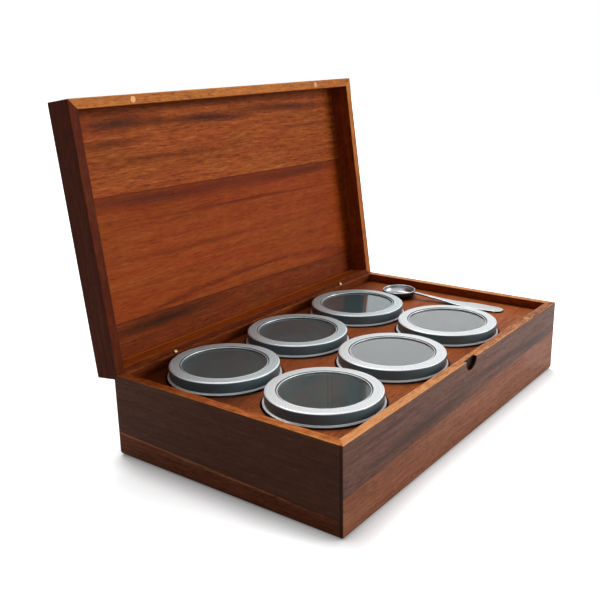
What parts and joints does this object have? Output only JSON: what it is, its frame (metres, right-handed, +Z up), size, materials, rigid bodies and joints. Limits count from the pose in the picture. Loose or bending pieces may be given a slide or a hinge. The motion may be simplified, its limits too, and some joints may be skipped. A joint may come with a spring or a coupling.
{
  "type": "wooden tea box",
  "caption": "Hinged wooden tea box, lid open, with round window tins standing in a holed deck and a measuring scoop beside them.",
  "frame": {"origin": "centre of the box's underside, on the surface it stands on", "axes": "+X to the right along the front, +Y from the front to the hinges, +Z up"},
  "size_m": [0.345, 0.2452, 0.2585],
  "materials": {
    "frame_wood": "acacia stained walnut brown, satin lacquer",
    "panel_wood": "acacia boards, edge glued, warm brown satin lacquer",
    "inner_wood": "orange brown stained wood, satin lacquer",
    "tinplate": "plain tinplate, satin",
    "cover_metal": "matt silver tinplate with a fine spun grain",
    "window": "clear glossy disc",
    "scoop_steel": "satin stainless steel",
    "hinge_brass": "turned brass",
    "magnet": "pale gold plated disc"
  },
  "bodies": {
    "base": {"front_wall_lower": "frame_wood", "front_wall_upper": "frame_wood", "right_wall_lower": "frame_wood", "right_wall_upper": "frame_wood", "rear_wall_lower": "frame_wood", "rear_wall_upper": "frame_wood", "left_wall_lower": "frame_wood", "left_wall_upper": "frame_wood", "floor_panel": "inner_wood", "deck_panel": "inner_wood", "front_cleat": "inner_wood", "right_cleat": "inner_wood", "rear_cleat": "inner_wood", "left_cleat": "inner_wood", "box_magnets": "magnet", "box_barrels": "hinge_brass", "hinge_pins": "hinge_brass"},
    "lid": {"lid_front_rail": "frame_wood", "lid_right_rail": "frame_wood", "lid_rear_rail": "frame_wood", "lid_left_rail": "frame_wood", "lid_panel_front": "panel_wood", "lid_panel_middle": "panel_wood", "lid_panel_rear": "panel_wood", "lid_magnets": "magnet", "lid_barrels": "hinge_brass"},
    "tin_1": {"tin_1_wall": "tinplate", "tin_1_base": "tinplate"},
    "tin_1_lid": {"tin_1_cover": "cover_metal", "tin_1_window": "window"},
    "tin_2": {"tin_2_wall": "tinplate", "tin_2_base": "tinplate"},
    "tin_2_lid": {"tin_2_cover": "cover_metal", "tin_2_window": "window"},
    "tin_3": {"tin_3_wall": "tinplate", "tin_3_base": "tinplate"},
    "tin_3_lid": {"tin_3_cover": "cover_metal", "tin_3_window": "window"},
    "tin_4": {"tin_4_wall": "tinplate", "tin_4_base": "tinplate"},
    "tin_4_lid": {"tin_4_cover": "cover_metal", "tin_4_window": "window"},
    "tin_5": {"tin_5_wall": "tinplate", "tin_5_base": "tinplate"},
    "tin_5_lid": {"tin_5_cover": "cover_metal", "tin_5_window": "window"},
    "tin_6": {"tin_6_wall": "tinplate", "tin_6_base": "tinplate"},
    "tin_6_lid": {"tin_6_cover": "cover_metal", "tin_6_window": "window"},
    "scoop": {"scoop_bowl": "scoop_steel", "scoop_handle": "scoop_steel"}
  },
  "joints": [
    {"name": "lid_hinge", "type": "hinge", "parent": "base", "child": "lid", "pos_m": [0, 0.09625, 0.0641], "axis": [-1, 0, 0], "range_deg": [-97.7, 0]},
    {"name": "tin_1_lift", "type": "slide", "parent": "base", "child": "tin_1", "axis": [0, 0, 1], "range_m": [0, 0.075]},
    {"name": "tin_1_cover_lift", "type": "slide", "parent": "tin_1", "child": "tin_1_lid", "axis": [0, 0, 1], "range_m": [0, 0.03]},
    {"name": "tin_2_lift", "type": "slide", "parent": "base", "child": "tin_2", "axis": [0, 0, 1], "range_m": [0, 0.075]},
    {"name": "tin_2_cover_lift", "type": "slide", "parent": "tin_2", "child": "tin_2_lid", "axis": [0, 0, 1], "range_m": [0, 0.03]},
    {"name": "tin_3_lift", "type": "slide", "parent": "base", "child": "tin_3", "axis": [0, 0, 1], "range_m": [0, 0.075]},
    {"name": "tin_3_cover_lift", "type": "slide", "parent": "tin_3", "child": "tin_3_lid", "axis": [0, 0, 1], "range_m": [0, 0.03]},
    {"name": "tin_4_lift", "type": "slide", "parent": "base", "child": "tin_4", "axis": [0, 0, 1], "range_m": [0, 0.075]},
    {"name": "tin_4_cover_lift", "type": "slide", "parent": "tin_4", "child": "tin_4_lid", "axis": [0, 0, 1], "range_m": [0, 0.03]},
    {"name": "tin_5_lift", "type": "slide", "parent": "base", "child": "tin_5", "axis": [0, 0, 1], "range_m": [0, 0.075]},
    {"name": "tin_5_cover_lift", "type": "slide", "parent": "tin_5", "child": "tin_5_lid", "axis": [0, 0, 1], "range_m": [0, 0.03]},
    {"name": "tin_6_lift", "type": "slide", "parent": "base", "child": "tin_6", "axis": [0, 0, 1], "range_m": [0, 0.075]},
    {"name": "tin_6_cover_lift", "type": "slide", "parent": "tin_6", "child": "tin_6_lid", "axis": [0, 0, 1], "range_m": [0, 0.03]},
    {"name": "scoop_lift", "type": "slide", "parent": "base", "child": "scoop", "axis": [0, 0, 1], "range_m": [0, 0.05]}
  ]
}
